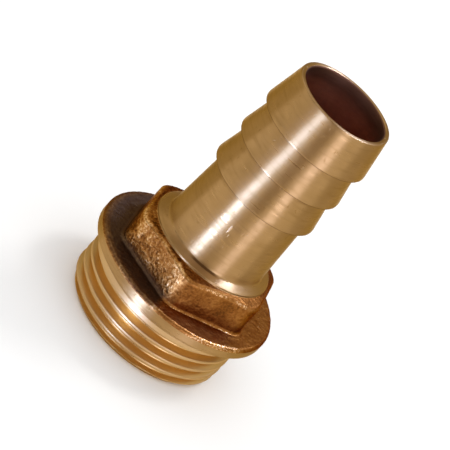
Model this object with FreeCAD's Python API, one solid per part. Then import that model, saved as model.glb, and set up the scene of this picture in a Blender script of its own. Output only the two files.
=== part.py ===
import FreeCAD, Part

import math
import os

# Hose tail fitting: one brass casting with a threaded spigot, a sealing collar,
# a spanner hexagon and a barbed tail for a 16 mm hose, bored from end to end.
# The origin is the centre of the spigot's end face and +Z runs along the bore
# to the hose end. Lengths are millimetres and angles are degrees. An azimuth is
# counted from the front (-Y) towards +X.

# Threaded spigot: parallel pipe thread, 3/4 inch size, right-hand
thread_major_d = 26.441
threads_per_inch = 14
thread_angle = 55.0
spigot_length = 9.6
plain_land = 1.45
lead_chamfer = 1.25
blank_taper = 0.02
run_out_azimuth = 195.0
run_out_sweep = 120.0

# Sealing collar, turned underneath and at its rim, cast on top
collar_d = 30.4
collar_height = 1.9
collar_lip = 0.55

# Spanner hexagon as cast for a 22 mm spanner, its corners well rounded, with one
# corner at the front and two flats facing +X and -X
hex_across_flats = 21.8
hex_height = 5.5
hex_corner_radius = 3.0
hex_top_slope = 14.0

# Turned shoulder between the hexagon and the tail
shoulder_d = 19.9
shoulder_step = 0.25
shoulder_slope = 23.0

# Hose tail: a tapered shank, then barbs that widen away from the hose end
shank_base_d = 16.9
shank_length = 11.2
root_d = 15.5
barb_d = 17.7
barb_count = 3
barb_pitch = 5.6
barb_land = 0.3
tip_length = 6.4
tip_d = 15.8

# Bore, straight through, with a chamfer at each mouth
bore_d = 13.8
tip_chamfer = 0.3
spigot_chamfer = 0.8

# Form of the thread: a sharp triangle with a sixth cut off at crest and root
inch = 25.4
pitch = inch / threads_per_inch
flank = math.radians(thread_angle / 2)
sharp_height = pitch / (2 * math.tan(flank))
truncation = sharp_height / 6
thread_depth = sharp_height - 2 * truncation
flat_width = 2 * truncation * math.tan(flank)
major_r = thread_major_d / 2
minor_r = major_r - thread_depth

# Heights along the axis, each feature standing on the one below
land_z = spigot_length - plain_land
collar_top_z = spigot_length + collar_height
shoulder_foot_z = collar_top_z + hex_height
shoulder_edge_z = shoulder_foot_z + shoulder_step
shoulder_rise = (shoulder_d - shank_base_d) / 2 * math.tan(math.radians(shoulder_slope))
shank_base_z = shoulder_edge_z + shoulder_rise
first_barb_z = shank_base_z + shank_length
tip_z = first_barb_z + barb_pitch * (barb_count - 1) + tip_length


def turned(points):
    """Solid turned about the axis from a straight-sided (radius, height) profile."""
    corners = [FreeCAD.Vector(radius, 0, height) for radius, height in points]
    profile = Part.Face(Part.makePolygon(corners + corners[:1]))
    return profile.revolve(FreeCAD.Vector(0, 0, 0), FreeCAD.Vector(0, 0, 1), 360)


def spigot_and_collar():
    """Thread blank, chamfered at the end and a hair smaller there than at its
    plain land, and the collar with its soft cast lip."""
    rim_r = collar_d / 2
    soft = collar_lip * (1 - math.cos(math.radians(45)))
    return turned(
        [
            (0, 0),
            (major_r - lead_chamfer, 0),
            (major_r - blank_taper, lead_chamfer),
            (major_r, land_z),
            (major_r, spigot_length),
            (rim_r, spigot_length),
            (rim_r, collar_top_z - collar_lip),
            (rim_r - soft, collar_top_z - soft),
            (rim_r - collar_lip, collar_top_z),
            (0, collar_top_z),
        ]
    )


def hexagon():
    """Hexagonal prism with rounded corners, its top falling away to the corners."""
    corner_r = hex_across_flats / 2 / math.cos(math.radians(30))
    corners = []
    for i in range(6):
        azimuth = math.radians(60 * i)
        x = corner_r * math.sin(azimuth)
        y = -corner_r * math.cos(azimuth)
        corners.append(FreeCAD.Vector(x, y, spigot_length))
    outline = Part.Face(Part.makePolygon(corners + corners[:1]))
    prism = outline.extrude(FreeCAD.Vector(0, 0, shoulder_foot_z))
    upright = [e for e in prism.Edges if abs(e.tangentAt(e.FirstParameter).z) > 0.5]
    prism = prism.makeFillet(hex_corner_radius, upright)

    # the top is a shallow cone that leaves the shoulder at its foot
    fall = math.tan(math.radians(hex_top_slope))
    reach = 2 * corner_r
    apex_z = shoulder_foot_z + fall * shoulder_d / 2
    cone = turned([(0, 0), (reach, 0), (reach, apex_z - fall * reach), (0, apex_z)])
    return prism.common(cone)


def hose_tail():
    """Shoulder, tapered shank and barbs as one turned profile."""
    points = [
        (0, spigot_length),
        (shoulder_d / 2, spigot_length),
        (shoulder_d / 2, shoulder_edge_z),
        (shank_base_d / 2, shank_base_z),
    ]
    for i in range(barb_count):
        barb_z = first_barb_z + i * barb_pitch
        points.append((root_d / 2, barb_z))
        points.append((barb_d / 2, barb_z))
        points.append((barb_d / 2, barb_z + barb_land))
    points.append((tip_d / 2, tip_z))
    points.append((0, tip_z))
    return turned(points)


def bore():
    """The waterway, cut past both ends so that each mouth gets its chamfer."""
    bore_r = bore_d / 2
    past = 1.0
    return turned(
        [
            (0, -past),
            (bore_r + spigot_chamfer + past, -past),
            (bore_r, spigot_chamfer),
            (bore_r, tip_z - tip_chamfer),
            (bore_r + tip_chamfer + past, tip_z + past),
            (0, tip_z + past),
        ]
    )


def thread_groove():
    """Helical cutter for the thread: it enters below the end face and, over the
    last part of a turn, lifts out of the blank and leaves the plain land whole."""
    end = math.radians(run_out_azimuth)
    lift_start = end - math.radians(run_out_sweep)
    end_z = land_z - pitch / 4
    proud = thread_depth / 20
    turns = math.ceil(end_z / pitch) + 1
    start = end - 2 * math.pi * turns
    stations = 12

    def rail(half_width, radius):
        """One edge of the groove as a helix, in a piece for each turn."""
        points = []
        azimuths = []
        for i in range(turns * stations + 1):
            azimuth = start + 2 * math.pi * i / stations
            lifted = max(0, (azimuth - lift_start) / (end - lift_start))
            r = radius + (thread_depth + proud) * lifted**2
            z = end_z - pitch * (end - azimuth) / (2 * math.pi) + half_width
            x = r * math.sin(azimuth)
            y = -r * math.cos(azimuth)
            points.append(FreeCAD.Vector(x, y, z))
            azimuths.append(azimuth)
        helix = Part.BSplineCurve()
        helix.interpolate(Points=points, Parameters=azimuths)
        pieces = []
        for i in range(turns):
            turn = helix.copy()
            turn.segment(azimuths[i * stations], azimuths[(i + 1) * stations])
            pieces.append(turn.toShape())
        return pieces

    root_half = flat_width / 2
    mouth_half = (pitch - flat_width) / 2 + proud * math.tan(flank)
    rails = [
        rail(-mouth_half, major_r + proud),
        rail(-root_half, minor_r),
        rail(root_half, minor_r),
        rail(mouth_half, major_r + proud),
    ]
    faces = []
    for one, other in zip(rails, rails[1:] + rails[:1]):
        faces += [Part.makeRuledSurface(a, b) for a, b in zip(one, other)]
    low_end = [pieces[0].Vertexes[0].Point for pieces in rails]
    high_end = [pieces[-1].Vertexes[1].Point for pieces in rails]
    for corners in (low_end, high_end):
        faces.append(Part.Face(Part.makePolygon(corners + corners[:1])))
    shell = Part.Shell(faces)
    shell.sewShape()
    return Part.Solid(shell)


casting = spigot_and_collar().fuse([hexagon(), hose_tail()])
fitting = casting.cut(bore()).cut(thread_groove())

os.makedirs("parts", exist_ok=True)
fitting.Solids[0].exportStep("parts/hose_tail_fitting.step")
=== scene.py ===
import math

import bpy
import numpy as np
from mathutils import Matrix, Vector, noise


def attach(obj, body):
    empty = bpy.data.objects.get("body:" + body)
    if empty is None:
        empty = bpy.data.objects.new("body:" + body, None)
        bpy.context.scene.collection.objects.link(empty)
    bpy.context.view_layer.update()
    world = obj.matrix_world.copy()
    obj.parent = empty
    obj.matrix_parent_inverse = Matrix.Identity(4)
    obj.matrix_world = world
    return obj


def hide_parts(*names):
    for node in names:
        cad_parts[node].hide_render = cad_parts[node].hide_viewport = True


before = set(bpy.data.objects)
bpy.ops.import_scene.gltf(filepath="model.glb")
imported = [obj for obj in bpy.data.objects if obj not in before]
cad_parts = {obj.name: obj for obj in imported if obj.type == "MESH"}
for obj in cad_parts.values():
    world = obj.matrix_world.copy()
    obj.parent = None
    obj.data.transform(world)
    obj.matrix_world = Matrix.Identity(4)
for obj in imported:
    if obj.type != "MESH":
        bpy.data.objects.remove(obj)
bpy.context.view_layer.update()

# The stage: a white floor in a plain white room, lit by two lamps. The polished
# brass mirrors cards and patches of the floor that nothing else sees: bright and
# bluish ones for daylight, and dull ones between them.
MM = 0.001
FLOOR_SIZE = 4.0
FLOOR_WHITE = (0.93, 0.93, 0.93, 1)
ROOM_WHITE = (1, 1, 1, 1)
ROOM_LEVEL = 1.0
ROOM_FILL = 1.0
LAMP_DISTANCE = 0.6
NEARER = 0.58
STRIP_LIFT = 0.0002
WAIST = Vector((0, 0, 24 * MM))


def towards(azimuth, elevation):
    """Unit vector from the fitting: azimuth from the front (-Y) towards +X, in degrees."""
    a = math.radians(azimuth)
    e = math.radians(elevation)
    return Vector((math.cos(e) * math.sin(a), -math.cos(e) * math.cos(a), math.sin(e)))


def facing(azimuth, elevation, distance):
    """Place and turn of something that stands off the fitting and faces it."""
    away = towards(azimuth, elevation)
    turn = away.to_track_quat("Z", "Y").to_matrix().to_4x4()
    return Matrix.Translation(WAIST + away * distance) @ turn


def lamp(name, azimuth, elevation, width, height, level, colour):
    """Soft box of a given width and height in degrees, not mirrored by the metal;
    level 1 is as bright as white."""
    light = bpy.data.lights.new(name, "AREA")
    light.shape = "RECTANGLE"
    light.size = 2 * LAMP_DISTANCE * math.tan(math.radians(width / 2))
    light.size_y = 2 * LAMP_DISTANCE * math.tan(math.radians(height / 2))
    light.energy = level * math.pi * light.size * light.size_y
    light.color = colour
    box = bpy.data.objects.new(name, light)
    bpy.context.collection.objects.link(box)
    box.matrix_world = facing(azimuth, elevation, LAMP_DISTANCE)
    box.visible_camera = False
    box.visible_glossy = False


def sheet_of(name, corners, shade):
    """Plain sheet that only the metal sees, as bright as its shade."""
    sheet = bpy.data.meshes.new(name)
    sheet.from_pydata(corners, [], [(0, 1, 2, 3)])
    paper = bpy.data.materials.new(name)
    paper.use_nodes = True
    shader = paper.node_tree.nodes["Principled BSDF"]
    shader.inputs["Base Color"].default_value = (0, 0, 0, 1)
    shader.inputs["Specular IOR Level"].default_value = 0
    shader.inputs["Emission Color"].default_value = (*shade, 1)
    shader.inputs["Emission Strength"].default_value = 1
    sheet.materials.append(paper)
    flag = bpy.data.objects.new(name, sheet)
    bpy.context.collection.objects.link(flag)
    flag.visible_camera = False
    flag.visible_diffuse = False
    flag.visible_shadow = False
    return flag


def card(name, azimuth, elevation, width, height, shade, distance=LAMP_DISTANCE):
    """Card of a given width and height in degrees that faces the fitting."""
    half_w = distance * math.tan(math.radians(width / 2))
    half_h = distance * math.tan(math.radians(height / 2))
    signs = ((-1, -1), (1, -1), (1, 1), (-1, 1))
    corners = [(half_w * right, half_h * up, 0) for right, up in signs]
    sheet_of(name, corners, shade).matrix_world = facing(azimuth, elevation, distance)


def strip(name, azimuth, width, near, far, shade):
    """Bright patch of the floor, a wedge between two distances from the bore's axis."""
    corners = []
    for reach, side in ((near, -1), (near, 1), (far, 1), (far, -1)):
        corners.append(towards(azimuth + side * width / 2, 0) * reach * MM + Vector((0, 0, STRIP_LIFT)))
    sheet_of(name, corners, shade)


lamp("window_lamp", -22, 30, 30, 40, level=0.9, colour=(1, 0.99, 0.98))
lamp("key_lamp", 143, 58, 13, 13, level=12.0, colour=(1, 0.99, 0.97))
card("key_glow", 143, 58, 22, 15, shade=(1.9, 2.1, 3.2))
card("key_core", 143, 58, 13, 13, shade=(19.0, 26.0, 56.0), distance=NEARER)
card("window", -19, 20, 9, 48, shade=(1.3, 1.5, 2.8))
card("soft_panel", 41, 14, 17, 50, shade=(2.8, 3.1, 5.0), distance=NEARER)
card("camera_card", 11, 8, 22, 50, shade=(0.12, 0.03, 0.0))
card("ceiling_front", 10, 50, 40, 26, shade=(0.10, 0.05, 0.015))
card("grey_card", -40, 8, 14, 60, shade=(0.78, 0.80, 1.10))
card("left_card", -63, 36, 34, 34, shade=(0.05, 0.05, 0.05))
card("left_side", -112, 0, 44, 76, shade=(0.70, 0.64, 0.44))
card("left_back", -150, 0, 40, 76, shade=(0.52, 0.47, 0.34))
card("back", 180, 0, 28, 76, shade=(0.36, 0.30, 0.20))
card("right_side", 112, 0, 50, 70, shade=(0.62, 0.57, 0.46))
card("right_back", 151, 0, 36, 76, shade=(0.66, 0.62, 0.50))
card("top_card", 176, 77, 22, 22, shade=(0.08, 0.04, 0.02))
strip("window_on_floor", -20, 14, 54, 190, shade=(9.0, 14.5, 37.0))
strip("window_by_foot", -14, 12, 20, 54, shade=(4.6, 6.8, 15.5))
strip("window_edge", -26, 12, 20, 54, shade=(1.3, 1.5, 2.4))
strip("window_other_edge", -5, 10, 20, 54, shade=(1.5, 1.7, 3.0))
strip("panel_on_floor", 39, 17, 45, 500, shade=(2.1, 2.3, 3.5))
strip("left_floor", -118, 62, 30, 500, shade=(0.66, 0.60, 0.42))
strip("right_floor", 112, 62, 30, 500, shade=(0.74, 0.70, 0.60))

# The room is white to the eye and in whatever mirrors it or lets it through.
room = bpy.data.worlds.new("white_room")
bpy.context.scene.world = room
room.use_nodes = True
room_nodes = room.node_tree.nodes
seen = room_nodes.new("ShaderNodeLightPath")
either = room_nodes.new("ShaderNodeMath")
either.operation = "MAXIMUM"
through = room_nodes.new("ShaderNodeMath")
through.operation = "MAXIMUM"
brightness = room_nodes.new("ShaderNodeMapRange")
brightness.inputs["To Min"].default_value = ROOM_FILL
brightness.inputs["To Max"].default_value = ROOM_LEVEL
room.node_tree.links.new(seen.outputs["Is Camera Ray"], either.inputs[0])
room.node_tree.links.new(seen.outputs["Is Glossy Ray"], either.inputs[1])
room.node_tree.links.new(either.outputs[0], through.inputs[0])
room.node_tree.links.new(seen.outputs["Is Transmission Ray"], through.inputs[1])
room.node_tree.links.new(through.outputs[0], brightness.inputs["Value"])
room_nodes["Background"].inputs["Color"].default_value = ROOM_WHITE
room.node_tree.links.new(brightness.outputs["Result"], room_nodes["Background"].inputs["Strength"])

table = bpy.data.meshes.new("floor")
half = FLOOR_SIZE / 2
corners = [(-half, -half, 0), (half, -half, 0), (half, half, 0), (-half, half, 0)]
table.from_pydata(corners, [], [(0, 1, 2, 3)])
paint = bpy.data.materials.new("floor_white")
paint.use_nodes = True
paint.node_tree.nodes["Principled BSDF"].inputs["Base Color"].default_value = FLOOR_WHITE
paint.node_tree.nodes["Principled BSDF"].inputs["Specular IOR Level"].default_value = 0
table.materials.append(paint)
floor = bpy.data.objects.new("floor", table)
bpy.context.collection.objects.link(floor)

# The camera looks down on the fitting with a long lens and is rolled, so that
# the upright fitting lies across the picture.
CAMERA_AZIMUTH = -3.0
CAMERA_ELEVATION = 26.52
CAMERA_DISTANCE = 271.2 * MM
CAMERA_AIM = Vector((-0.66 * MM, 0, 20.5 * MM))
CAMERA_ROLL = 43.25
CAMERA_LENS = 152.0

lens = bpy.data.cameras.new("camera")
lens.lens = CAMERA_LENS
lens.clip_start = 0.01
camera = bpy.data.objects.new("camera", lens)
bpy.context.collection.objects.link(camera)
spin = Matrix.Rotation(math.radians(CAMERA_AZIMUTH), 4, "Z")
stand = Vector((0, 0, CAMERA_AIM.z)) + towards(0, CAMERA_ELEVATION) * CAMERA_DISTANCE
gaze = (stand - CAMERA_AIM).to_track_quat("Z", "Y").to_matrix().to_4x4()
roll = Matrix.Rotation(math.radians(CAMERA_ROLL), 4, "Z")
camera.matrix_world = spin @ Matrix.Translation(stand) @ gaze @ roll
bpy.context.scene.camera = camera
bpy.context.scene.view_settings.view_transform = "Standard"

# The threaded spigot: a parallel pipe thread cut on the casting with a form
# tool, its roots rounded and its crests worn flat, with a chamfer at the end face
# and a plain land under the collar. What the lathe touched is bright.
THREAD_R = 13.2205
PITCH = 25.4 / 14
FLANK = math.radians(27.5)
ROUNDING = 0.137329 * PITCH
DEPTH = 0.640327 * PITCH
SPIGOT_LENGTH = 9.6
LAND_Z = 8.15
LEAD_CHAMFER = 1.1
BORE_R = 6.9
SPIGOT_CHAMFER = 0.8
RUN_OUT_AZIMUTH = 195.0
RUN_OUT_SWEEP = 120.0
EDGE_BREAK = 0.08
CREST_WEAR = 0.1
CREST_EASE = 0.2
THREAD_ROW = 0.07
COLUMNS = 240
EDGE_TINT = (0.75, 0.60, 0.38, 1)
TURNED_BRASS = (0.430, 0.248, 0.094, 1)
TARNISHED_BRASS = (0.34, 0.185, 0.055, 1)
CREST_BRASS = (0.56, 0.35, 0.155, 1)
ROOT_BRASS = (0.61, 0.375, 0.135, 1)
# Colour of the painted shade in the crease and under the barbs' edges.
PAINTED_SHADE_BROWN = (0.12, 0.055, 0.018, 1)
EDGE_PALE = (0.66, 0.44, 0.22, 1)

skin = []


def azimuths(columns):
    """Azimuths of a ring's points in degrees, from the back round to the back."""
    return -180 + 360 * np.arange(columns) / columns


def within(azimuth, low, high, fade_in, fade_out):
    """1 between two azimuths and 0 outside, with a fade of some degrees at each end."""
    return np.clip((azimuth - low) / fade_in, 0, 1) * np.clip((high - azimuth) / fade_out, 0, 1)


def lay(finish, radius, height, columns=COLUMNS, tone=0.5, soot=0.0, normal=None):
    """Adds a ring to the casting's skin; the faces that reach up to it take its finish."""
    a = np.radians(azimuths(columns))
    r = np.broadcast_to(radius, columns)
    z = np.broadcast_to(height, columns)
    points = np.stack([r * np.sin(a), -r * np.cos(a), z], axis=1)
    skin.append([finish, points, np.broadcast_to(tone, columns), np.broadcast_to(soot, columns), normal])


def softer(a, b, width):
    """The lesser of two values, with the corner between them rounded."""
    near = np.clip(0.5 + 0.5 * (b - a) / width, 0, 1)
    return b + (a - b) * near - width * near * (1 - near) / 2


def thread_profile(beside):
    """Radius of the rounded thread at a distance beside the middle of a groove."""
    start = ROUNDING * math.cos(FLANK)
    rise = ROUNDING * (1 - math.sin(FLANK))
    root = ROUNDING - np.sqrt(np.maximum(ROUNDING**2 - beside**2, 0))
    flank = rise + (beside - start) / math.tan(FLANK)
    to_crest = np.clip(PITCH / 2 - beside, 0, None)
    crest = DEPTH - ROUNDING + np.sqrt(np.maximum(ROUNDING**2 - to_crest**2, 0))
    depth = np.where(beside < start, root, np.where(to_crest < start, crest, flank))
    return THREAD_R - DEPTH + depth


def thread_radius(azimuth, height):
    """Radius of the threaded blank where the last groove lifts out of it."""
    behind = (RUN_OUT_AZIMUTH - azimuth) % 360
    last_groove = LAND_Z - PITCH / 4 - PITCH * behind / 360
    below = last_groove - height
    turn = np.maximum(0, np.round(below / PITCH))
    lifted = np.where(turn == 0, np.clip(1 - behind / RUN_OUT_SWEEP, 0, None), 0)
    groove = thread_profile(np.abs(below - turn * PITCH)) + 1.1 * DEPTH * lifted**2
    lead_in = THREAD_R - LEAD_CHAMFER + height
    return softer(softer(groove + CREST_WEAR, THREAD_R, CREST_EASE), lead_in, 0.05)


def thread_normal(height):
    """Outward directions of the threaded blank along a ring, from its slopes."""
    step = 0.01
    a = azimuths(COLUMNS)
    radius = thread_radius(a, height)
    climb = (thread_radius(a, height + step) - thread_radius(a, height - step)) / (2 * step)
    turn = math.degrees(step) / THREAD_R
    swing = (thread_radius(a + turn, height) - thread_radius(a - turn, height)) / (2 * step)
    a = np.radians(a)
    x = np.sin(a) - swing * np.cos(a)
    y = -np.cos(a) - swing * np.sin(a)
    outward = np.stack([x, y, -climb], axis=1)
    return outward / np.linalg.norm(outward, axis=1, keepdims=True)


lay("bore", BORE_R, SPIGOT_CHAMFER)
lay("turned", BORE_R + 0.03, SPIGOT_CHAMFER - 0.05)
lay("turned", BORE_R + SPIGOT_CHAMFER - 0.05, 0.04)
lay("turned", BORE_R + SPIGOT_CHAMFER + 0.05, 0)
for r in np.linspace(BORE_R + 1.3, THREAD_R - LEAD_CHAMFER - EDGE_BREAK, 6):
    lay("turned", r, 0)
for z in np.arange(0.03, LAND_Z + THREAD_ROW, THREAD_ROW):
    r = thread_radius(azimuths(COLUMNS), z)
    crest = np.clip((r - THREAD_R + DEPTH) / DEPTH, 0, 1)
    lay("threaded", r, z, tone=crest, normal=thread_normal(z))
for z in np.linspace(LAND_Z + 2 * THREAD_ROW, SPIGOT_LENGTH - 0.2, 6):
    lay("turned", THREAD_R, z)


class Signal:
    """A value or colour over a surface; arithmetic on it adds the Math nodes."""

    def __init__(self, tree, socket=None):
        self.tree = tree
        self.socket = socket

    def node(self, kind, settings, values, output=0):
        """A node of this kind: its settings come first, then its sockets' values or links."""
        made = self.tree.nodes.new(kind)
        for name, setting in settings.items():
            if name == "stops":
                ramp = made.color_ramp.elements
                for place, shade in setting[2:]:
                    ramp.new(place)
                for element, (place, shade) in zip(ramp, sorted(setting)):
                    element.position = place
                    element.color = shade
            else:
                setattr(made, name, setting)
        for name, value in values.items():
            if isinstance(value, Signal):
                self.tree.links.new(value.socket, made.inputs[name])
            else:
                made.inputs[name].default_value = value
        return Signal(self.tree, made.outputs[output])

    def maths(self, operation, first, second):
        return self.node("ShaderNodeMath", {"operation": operation}, {0: first, 1: second})

    def __add__(self, other):
        return self.maths("ADD", self, other)

    def __radd__(self, other):
        return self.maths("ADD", other, self)

    def __sub__(self, other):
        return self.maths("SUBTRACT", self, other)

    def __rsub__(self, other):
        return self.maths("SUBTRACT", other, self)

    def __mul__(self, other):
        return self.maths("MULTIPLY", self, other)

    def __rmul__(self, other):
        return self.maths("MULTIPLY", other, self)

    def __pow__(self, other):
        return self.maths("POWER", self, other)

    def stretched(self, across, along):
        """A place squeezed across the bore's axis, so that a pattern runs in rings."""
        settings = {"operation": "MULTIPLY"}
        return self.node("ShaderNodeVectorMath", settings, {0: self, 1: (across, across, along)})

    def mottled(self, per_mm, detail=2.0, roughness=0.5):
        """Soft noise between 0 and 1 at this place, so many grains to the millimetre."""
        values = {"Vector": self, "Scale": per_mm, "Detail": detail, "Roughness": roughness}
        return self.node("ShaderNodeTexNoise", {}, values)

    def off(self, spot, squeeze):
        """Distance in mm from a spot, counted less along the bore's axis."""
        away = self.node("ShaderNodeVectorMath", {"operation": "SUBTRACT"}, {0: self, 1: spot})
        near = away.stretched(1, squeeze)
        return near.node("ShaderNodeVectorMath", {"operation": "LENGTH"}, {0: near}, output="Value")

    def above(self, low, high):
        """0 below the low value and 1 above the high one, with a smooth step between."""
        values = {"Value": self, "From Min": low, "From Max": high}
        return self.node("ShaderNodeMapRange", {"interpolation_type": "SMOOTHSTEP"}, values)

    def blend(self, first, second):
        """One colour where this is 0 and the other where it is 1."""
        settings = {"data_type": "RGBA"}
        return self.node("ShaderNodeMix", settings, {0: self, 6: first, 7: second}, output=2)


def metal(name, **sockets):
    """A metal with its plain sockets set: the material, its shader and the place in mm."""
    made = bpy.data.materials.new(name)
    made.use_nodes = True
    shader = made.node_tree.nodes["Principled BSDF"]
    shader.inputs["Metallic"].default_value = 1
    for socket, value in sockets.items():
        shader.inputs[socket.replace("_", " ").title()].default_value = value
    start = Signal(made.node_tree)
    place = start.node("ShaderNodeTexCoord", {}, {}, output="Object")
    in_mm = start.node("ShaderNodeVectorMath", {"operation": "SCALE"}, {0: place, "Scale": 1 / MM})
    return made, shader, in_mm


def dress(shader, colour, rough, height):
    """Gives the shader its colour, its roughness and its fine relief, a height in mm."""
    tree = colour.tree
    tree.links.new(colour.socket, shader.inputs["Base Color"])
    tree.links.new(rough.socket, shader.inputs["Roughness"])
    relief = colour.node("ShaderNodeBump", {}, {"Height": height, "Distance": MM, "Strength": 1.0})
    tree.links.new(relief.socket, shader.inputs["Normal"])


NICK_PLACE = (-0.15, -8.05, 24.5)
brushed = {"anisotropic": 0.85, "anisotropic_rotation": 0.25}
turned, shader, place = metal("turned", specular_tint=EDGE_TINT, **brushed)
rings = place.stretched(0.12, 1).mottled(2.2, detail=3)
hairlines = place.stretched(0.05, 1).mottled(7.0)
tarnish = place.mottled(0.22, detail=4).above(0.35, 0.7)
flecks = place.stretched(1, 0.5).mottled(2.0, detail=1).above(0.71, 0.76)
# The tone holds painted shade in the crease and under the barbs' edges, painted glints on the burrs and a
# pale tip rim.
painted_shade_and_glint = place.node("ShaderNodeAttribute", {"attribute_name": "tone"}, {}, output="Fac")
nick = 1 - place.off(NICK_PLACE, 0.25).above(0.08, 0.2)
dull = tarnish * 0.4 + rings.above(0.5, 0.75) * 0.3 + flecks * 0.5
colour = dull.blend(TURNED_BRASS, TARNISHED_BRASS)
# Painted shade where the tone is low.
colour = painted_shade_and_glint.above(0.0, 0.45).blend(PAINTED_SHADE_BROWN, colour)
# Painted glints where the tone is high, and the pale nick.
colour = (painted_shade_and_glint.above(0.55, 1.0) + nick).blend(colour, EDGE_PALE)
rough = 0.02 + 0.34 * rings + 0.34 * hairlines
relief = 0.006 * rings + 0.0022 * hairlines - 0.012 * flecks + 0.05 * nick
dress(shader, colour, rough, relief)

threaded, shader, place = metal("threaded", specular_tint=EDGE_TINT)
crest = place.node("ShaderNodeAttribute", {"attribute_name": "tone"}, {}, output="Fac")
tool_marks = place.stretched(0.1, 1).mottled(6.0, detail=3)
patches = place.stretched(0.6, 1).mottled(0.6, detail=3)
colour = (crest.above(0.55, 1.0) * 0.8 + patches * 0.3 - 0.1).blend(ROOT_BRASS, CREST_BRASS)
dress(shader, colour, 0.22 + 0.1 * patches + 0.10 * crest, 0.003 * tool_marks + 0.01 * patches)

# The collar that a washer seals against: its underside and the lower part of its
# rim are turned bright, and its lip and top are left as cast.
COLLAR_R = 15.2
COLLAR_TOP_Z = 11.5
RIM_TOP_Z = 10.95
LIP = 0.55
RELIEF = 0.15
CAST_COLUMNS = 480
RIM_EASE = 0.2

for turn in np.radians([20, 45, 70]):
    lay("turned", THREAD_R + RELIEF * (1 - math.cos(turn)), SPIGOT_LENGTH - RELIEF * (1 - math.sin(turn)))
for r in np.linspace(THREAD_R + RELIEF, COLLAR_R - RIM_EASE, 5):
    lay("turned", r, SPIGOT_LENGTH)
for turn in np.radians([15, 45, 75]):
    r = COLLAR_R - RIM_EASE * (1 - math.sin(turn))
    lay("turned", r, SPIGOT_LENGTH + RIM_EASE * (1 - math.cos(turn)))
for z in np.linspace(SPIGOT_LENGTH + RIM_EASE, RIM_TOP_Z, 7):
    lay("turned", COLLAR_R, z)
first_cast = len(skin)
cast_azimuths = azimuths(CAST_COLUMNS)
# Painted shade: the collar, its lip, the fillet and the foot of the flats darken to the left of the
# front.
left_painted_shade = within(cast_azimuths, -165, 0, 15, 5)
# Painted highlight: the lip is lighter to the right of the front.
lip_painted_highlight = 0.5 + 0.36 * within(cast_azimuths, 5, 75, 20, 20)
lay("cast", COLLAR_R, RIM_TOP_Z + 0.01, CAST_COLUMNS, tone=lip_painted_highlight)
for turn in np.radians(np.linspace(8, 90, 8)):
    r = COLLAR_R - LIP * (1 - math.cos(turn))
    z = COLLAR_TOP_Z - LIP * (1 - math.sin(turn))
    lay("cast", r, z, CAST_COLUMNS, tone=lip_painted_highlight, soot=left_painted_shade * (0.25 + 0.5 * math.sin(turn)))

# The spanner hexagon, left as the sand mould gave it: rough flats, rounded
# corners and edges, and a fillet where it stands on the collar. A painted highlight
# lightens its edges to the right of the front, and painted shade darkens the collar to the left.
ACROSS_FLATS = 21.8
HEX_TURN = 2.0
DRAFT = math.tan(math.radians(1.0))
CORNER_R = 3.0
TOP_FALL = math.tan(math.radians(14))
FOOT_FILLET = 0.42
TOP_EDGE_R = 0.45
SHOULDER_R = 9.95
SHOULDER_FOOT_Z = 17.0
RIDGE_AZIMUTH = -7.0
DEEPEST = 0.11
PIT_BROWN = (0.075, 0.026, 0.005, 1)
SKIN_BROWN = (0.24, 0.082, 0.015, 1)
SAND_BRONZE = (0.40, 0.170, 0.038, 1)
GRAIN_BRASS = (0.80, 0.47, 0.185, 1)
GLINT_PALE = (0.90, 0.56, 0.27, 1)
CAST_EDGE_TINT = (0.46, 0.29, 0.12, 1)
# Colour of the painted shade on the left.
PAINTED_SHADE_BLACK = (0.070, 0.048, 0.031, 1)


def hexagon_radius(azimuth, across):
    """Radius of a hexagon with rounded corners, one of them at the front."""
    corner = across / 2 / math.cos(math.radians(30))
    off_flat = np.radians(np.abs(azimuth % 60 - 30))
    flat = across / 2 / np.cos(off_flat)
    centre = corner - CORNER_R / math.cos(math.radians(30))
    off_corner = math.radians(30) - off_flat
    reach = centre * np.cos(off_corner)
    arc = reach + np.sqrt(np.maximum(CORNER_R**2 - (centre * np.sin(off_corner)) ** 2, 0))
    tangent = np.arctan2(CORNER_R / 2, centre + CORNER_R * math.cos(math.radians(30)))
    return np.where(off_corner < tangent, arc, flat)


def sand_relief(point, azimuth):
    """Height of the cast skin in mm over its smooth form: waves, lumps, grains and pits."""
    rough = 0.6 + 0.4 * min(max(-azimuth / 6, 0), 1) * min(max((azimuth + 66) / 6, 0), 1)
    waves = 0.05 * noise.noise(point * 0.35)
    lumps = 0.035 * noise.noise(point * 1.05 + Vector((5, 0, 0)))
    grains = 0.05 * noise.noise(point * 2.3 + Vector((0, 9, 0)))
    pits = 0.10 * max(0, noise.noise(point * 0.8 + Vector((0, 0, 3))) - 0.42)
    across = math.radians(azimuth - RIDGE_AZIMUTH) * ACROSS_FLATS / 2
    ridge = 0.07 * math.exp(-((across / 0.16) ** 2)) * max(0, noise.noise(point * 1.3) + 0.25)
    return waves + rough * (lumps + grains) - pits + ridge * (point.z > 13)


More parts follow.
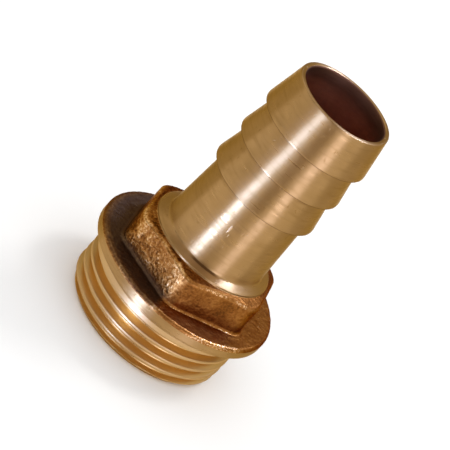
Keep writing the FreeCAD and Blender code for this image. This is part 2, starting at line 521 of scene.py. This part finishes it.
foot = hexagon_radius(cast_azimuths - HEX_TURN, ACROSS_FLATS)
top_edge = SHOULDER_FOOT_Z - TOP_FALL * (foot - SHOULDER_R)
rim_in = COLLAR_R - LIP
for share in np.linspace(0.06, 1, 14):
    r = rim_in + (foot + FOOT_FILLET - rim_in) * share
    lay("cast", r, COLLAR_TOP_Z, CAST_COLUMNS, tone=0.6, soot=left_painted_shade * min(1, 0.75 + share))
for turn in np.radians([18, 36, 54, 72, 90]):
    r = foot + FOOT_FILLET * (1 - math.sin(turn))
    z = COLLAR_TOP_Z + FOOT_FILLET * (1 - math.cos(turn))
    # Painted highlight on the foot fillet to the right of the front.
    right_painted_highlight = 0.45 * within(cast_azimuths, 0, 70, 6, 20) * (turn < 0.8)
    lay("cast", r, z, CAST_COLUMNS, tone=0.5 + right_painted_highlight, soot=left_painted_shade * math.cos(turn / 2))
low = COLLAR_TOP_Z + FOOT_FILLET
for share in np.linspace(0, 1, 26)[1:]:
    z = low + (top_edge - TOP_EDGE_R - low) * share
    lay("cast", foot - DRAFT * (z - low), z, CAST_COLUMNS, soot=left_painted_shade * max(0, 0.7 - 6 * share))
wall = foot - DRAFT * (top_edge - low)
# Painted highlight on the top edges to the right of the front.
right_painted_highlight = 0.14 * within(cast_azimuths, 8, 70, 10, 20)
for turn in np.radians([18, 36, 54, 72]):
    r = wall - TOP_EDGE_R * (1 - math.cos(turn))
    z = top_edge - TOP_EDGE_R * (1 - math.sin(turn))
    lay("cast", r, z, CAST_COLUMNS, tone=0.68 + right_painted_highlight)
for share in np.linspace(0, 1, 13):
    r = (wall - TOP_EDGE_R) * (1 - share) + (SHOULDER_R + 0.06) * share
    z = SHOULDER_FOOT_Z - TOP_FALL * (r - SHOULDER_R)
    lay("cast", r, z, CAST_COLUMNS, tone=0.5 - 0.2 * math.sin(math.pi * share))

grid = np.array([ring[1] for ring in skin[first_cast:]])
around = np.roll(grid, -1, axis=1) - np.roll(grid, 1, axis=1)
outward = np.cross(around, np.gradient(grid, axis=0))
outward /= np.linalg.norm(outward, axis=2, keepdims=True)
for row, ring in enumerate(skin[first_cast:]):
    ease = min(1, row / 4, (len(grid) - 1 - row) / 3)
    rise = np.array([sand_relief(Vector(p), a) for p, a in zip(grid[row], cast_azimuths)])
    ring[1] = grid[row] + outward[row] * (rise * ease)[:, None]
    ring[2] = np.clip(ring[2] + rise / DEEPEST / 2, 0, 1)

cast, shader, place = metal("cast", specular_tint=CAST_EDGE_TINT)
# The tone holds the height of the cast relief and the painted highlights on the edges and lip.
relief = place.node("ShaderNodeAttribute", {"attribute_name": "tone"}, {}, output="Fac")
soot = place.node("ShaderNodeAttribute", {"attribute_name": "soot"}, {}, output="Fac")
sand = place.mottled(3.2, detail=3, roughness=0.6)
stain = place.mottled(0.5, detail=4)
stops = [(0.25, PIT_BROWN), (0.75, GRAIN_BRASS), (0.40, SKIN_BROWN), (0.56, SAND_BRONZE)]
right = place.node("ShaderNodeSeparateXYZ", {}, {0: place}, output="X").above(-0.5, 1.5)
grain = (sand - 0.5) * (1 - 0.5 * right)
height = relief * (0.6 - 0.35 * right) + grain * 0.75 + stain * 0.2 + 0.085 + right * 0.1
colour = height.node("ShaderNodeValToRGB", {"stops": stops}, {"Fac": height}, output="Color")
# Painted glints on the high grains and edges.
painted_glint = place.mottled(4.0, detail=1).above(0.50, 0.62) * relief.above(0.72, 0.88)
colour = (painted_glint * 0.75).blend(colour, GLINT_PALE)
# Painted shade: near black where the left shade mask is.
colour = (soot * 0.92).blend(colour, PAINTED_SHADE_BLACK)
dress(shader, colour, 0.44 - 0.14 * relief + 0.1 * soot, (1 - 0.6 * soot) * grain * 0.075)

# The hose tail, turned in one cut with the shoulder under it: a tapered shank
# and three barbs that let the hose on and hold it there. The tool left fine burrs
# on the barbs' edges and parted the tip a little askew. Painted shade darkens the
# crease at the front and a thin line under each barb's edge, and a painted glint
# lightens the burrs.
SHOULDER_EDGE_Z = 17.25
SHANK_BASE_R = 8.45
SHANK_BASE_Z = 17.887
ROOT_R = 7.75
BARB_R = 8.85
BARB_Z = (29.087, 34.687, 40.287)
BARB_LAND = 0.3
BARB_EDGE = 0.07
BURR = 0.018
TIP_R = 7.74
TIP_Z = 46.687
TIP_CHAMFER = 0.15
TIP_SKEW = 0.22


def run(finish, start, end, steps):
    """Rings evenly spaced from just past one (radius, height) to another."""
    for share in [0.03, *np.linspace(0, 1, steps + 1)[1:-1], 0.97, 1]:
        lay(finish, start[0] + (end[0] - start[0]) * share, start[1] + (end[1] - start[1]) * share)


def burred(radius, height):
    """Radius of a turned edge with the small burrs and nicks that the tool left there."""
    a = np.radians(azimuths(COLUMNS))
    spots = [Vector((8 * math.sin(t), 8 * math.cos(t), height)) * 1.7 for t in a]
    return radius + BURR * np.array([noise.noise(spot) for spot in spots])


lay("turned", SHOULDER_R, SHOULDER_FOOT_Z + 0.05)
run("turned", (SHOULDER_R, SHOULDER_FOOT_Z + 0.05), (SHOULDER_R, SHOULDER_EDGE_Z - 0.06), 1)
lay("turned", SHOULDER_R - 0.025, SHOULDER_EDGE_Z - 0.01)
slope_foot = (SHOULDER_R - 0.08, SHOULDER_EDGE_Z + 0.03)
run("turned", slope_foot, (SHANK_BASE_R + 0.60, SHANK_BASE_Z - 0.25), 6)
# Painted shade: a dark patch in the crease at the front.
crease_painted_shade = within(azimuths(COLUMNS), -16, 24, 10, 8)
lay("turned", SHANK_BASE_R + 0.45, SHANK_BASE_Z - 0.186, tone=0.5 - 0.38 * crease_painted_shade)
lay("turned", SHANK_BASE_R + 0.25, SHANK_BASE_Z - 0.10, tone=0.5 - 0.42 * crease_painted_shade)
lay("turned", SHANK_BASE_R + 0.12, SHANK_BASE_Z - 0.03, tone=0.4 - 0.3 * crease_painted_shade)
lay("turned", SHANK_BASE_R + 0.04, SHANK_BASE_Z + 0.09)
last = (SHANK_BASE_R, SHANK_BASE_Z + 0.25)
lay("turned", *last)
for z in BARB_Z:
    run("turned", last, (ROOT_R + 0.01, z - 0.12), 8)
    lay("turned", ROOT_R + 0.04, z - 0.03)
    lay("turned", ROOT_R + 0.12, z)
    run("turned", (ROOT_R + 0.12, z), (BARB_R - BARB_EDGE, z), 2)
    # Painted shade: a dark line under each barb's edge.
    lay("turned", burred(BARB_R - 0.02, z), z + 0.02, tone=0.0)
    lay("turned", burred(BARB_R, z), z + BARB_EDGE, tone=0.1)
    # Painted glint and shade along the land, following the burrs.
    shine = np.clip(0.5 + 8 * (burred(BARB_R, z) - BARB_R), 0.4, 0.9)
    lay("turned", burred(BARB_R, z), z + 0.12, tone=0.5)
    lay("turned", BARB_R, z + BARB_LAND - 0.05, tone=shine)
    last = (BARB_R - 0.02, z + BARB_LAND + 0.05)
    lay("turned", *last)
askew = -TIP_SKEW * np.cos(np.radians(azimuths(COLUMNS)))
run("turned", last, (TIP_R, TIP_Z - 0.1 + askew), 10)
lay("turned", TIP_R - 0.04, TIP_Z - 0.03 + askew)
lay("turned", burred(TIP_R - 0.12, TIP_Z), TIP_Z + askew, tone=0.8)
lay("turned", BORE_R + TIP_CHAMFER, TIP_Z - 0.03 + askew, tone=0.6)

# The bore, drilled straight through and left dull: a reddish brown inside, and
# darker and greyer near the mouth.
BORE_BROWN = (0.52, 0.185, 0.088, 1)
BORE_DARK = (0.42, 0.145, 0.072, 1)
MOUTH_DARK = (0.15, 0.066, 0.036, 1)
DARK_FULL = 0.6
DARK_END = 3.6

lay("bore", BORE_R + 0.03, TIP_Z - TIP_CHAMFER - 0.02 + askew)
lay("bore", BORE_R, TIP_Z - TIP_CHAMFER - 0.1 + askew)
for z in np.linspace(TIP_Z - 1.5, SPIGOT_CHAMFER + 0.3, 12):
    lay("bore", BORE_R, z)

bore, shader, place = metal("bore")
drill_marks = place.stretched(0.15, 1).mottled(3.0, detail=3)
colour = place.mottled(0.5, detail=3).above(0.3, 0.75).blend(BORE_BROWN, BORE_DARK)
high = place.node("ShaderNodeSeparateXYZ", {}, {0: place}, output="Z")
colour = high.above(TIP_Z - DARK_END, TIP_Z - DARK_FULL).blend(colour, MOUTH_DARK)
dress(shader, colour, 0.4 + 0.2 * drill_marks, 0.02 * drill_marks)

# One closed skin: the rings are joined in order and the last meets the first.
# The bake map runs once round the fitting and along its profile.
FINISHES = ("turned", "threaded", "cast", "bore")
BORE_SHARE = 0.25

starts = np.cumsum([0] + [len(ring[1]) for ring in skin])
fronts = np.array([ring[1][len(ring[1]) // 2] for ring in skin])
steps = np.linalg.norm(np.roll(fronts, -1, axis=0) - fronts, axis=1)
steps *= [BORE_SHARE if skin[(i + 1) % len(skin)][0] == "bore" else 1 for i in range(len(skin))]
along = np.concatenate([[0], np.cumsum(steps)]) / steps.sum()
faces = []
slots = []
unrolled = []
for i, ring in enumerate(skin):
    j = (i + 1) % len(skin)
    low, high = len(ring[1]), len(skin[j][1])
    wide = min(low, high)
    for k in range(wide):
        if low == high:
            made = [[(0, k), (0, k + 1), (1, k + 1), (1, k)]]
        elif high > low:
            made = [
                [(0, k), (0, k + 1), (1, 2 * k + 1)],
                [(0, k), (1, 2 * k + 1), (1, 2 * k)],
                [(0, k + 1), (1, 2 * k + 2), (1, 2 * k + 1)],
            ]
        else:
            made = [
                [(0, 2 * k), (0, 2 * k + 1), (1, k)],
                [(0, 2 * k + 1), (1, k + 1), (1, k)],
                [(0, 2 * k + 1), (0, 2 * k + 2), (1, k + 1)],
            ]
        for face in made:
            faces.append([int((starts[i], starts[j])[up] + n % (low, high)[up]) for up, n in face])
            unrolled += [(n / (low, high)[up], along[i + up]) for up, n in face]
            slots.append(FINISHES.index(skin[j][0]))

body = bpy.data.meshes.new("hose_tail_brass")
body.from_pydata((np.concatenate([ring[1] for ring in skin]) * MM).tolist(), [], faces)
body.polygons.foreach_set("material_index", slots)
for name, column in (("tone", 2), ("soot", 3)):
    values = body.attributes.new(name, "FLOAT", "POINT").data
    values.foreach_set("value", np.concatenate([ring[column] for ring in skin]).astype(np.float32))
body.uv_layers.new(name="OFBake").data.foreach_set("uv", np.array(unrolled, dtype=np.float32).ravel())
for finish in (turned, threaded, cast, bore):
    body.materials.append(finish)
body.update()
body.shade_smooth()
normals = np.array([corner.vector for corner in body.vertex_normals])
for start, ring in zip(starts, skin):
    if ring[4] is not None:
        normals[start : start + COLUMNS] = ring[4]
body.normals_split_custom_set_from_vertices(normals)

fitting = bpy.data.objects.new("hose_tail_brass", body)
bpy.context.collection.objects.link(fitting)
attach(fitting, "root")
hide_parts("hose_tail_fitting")
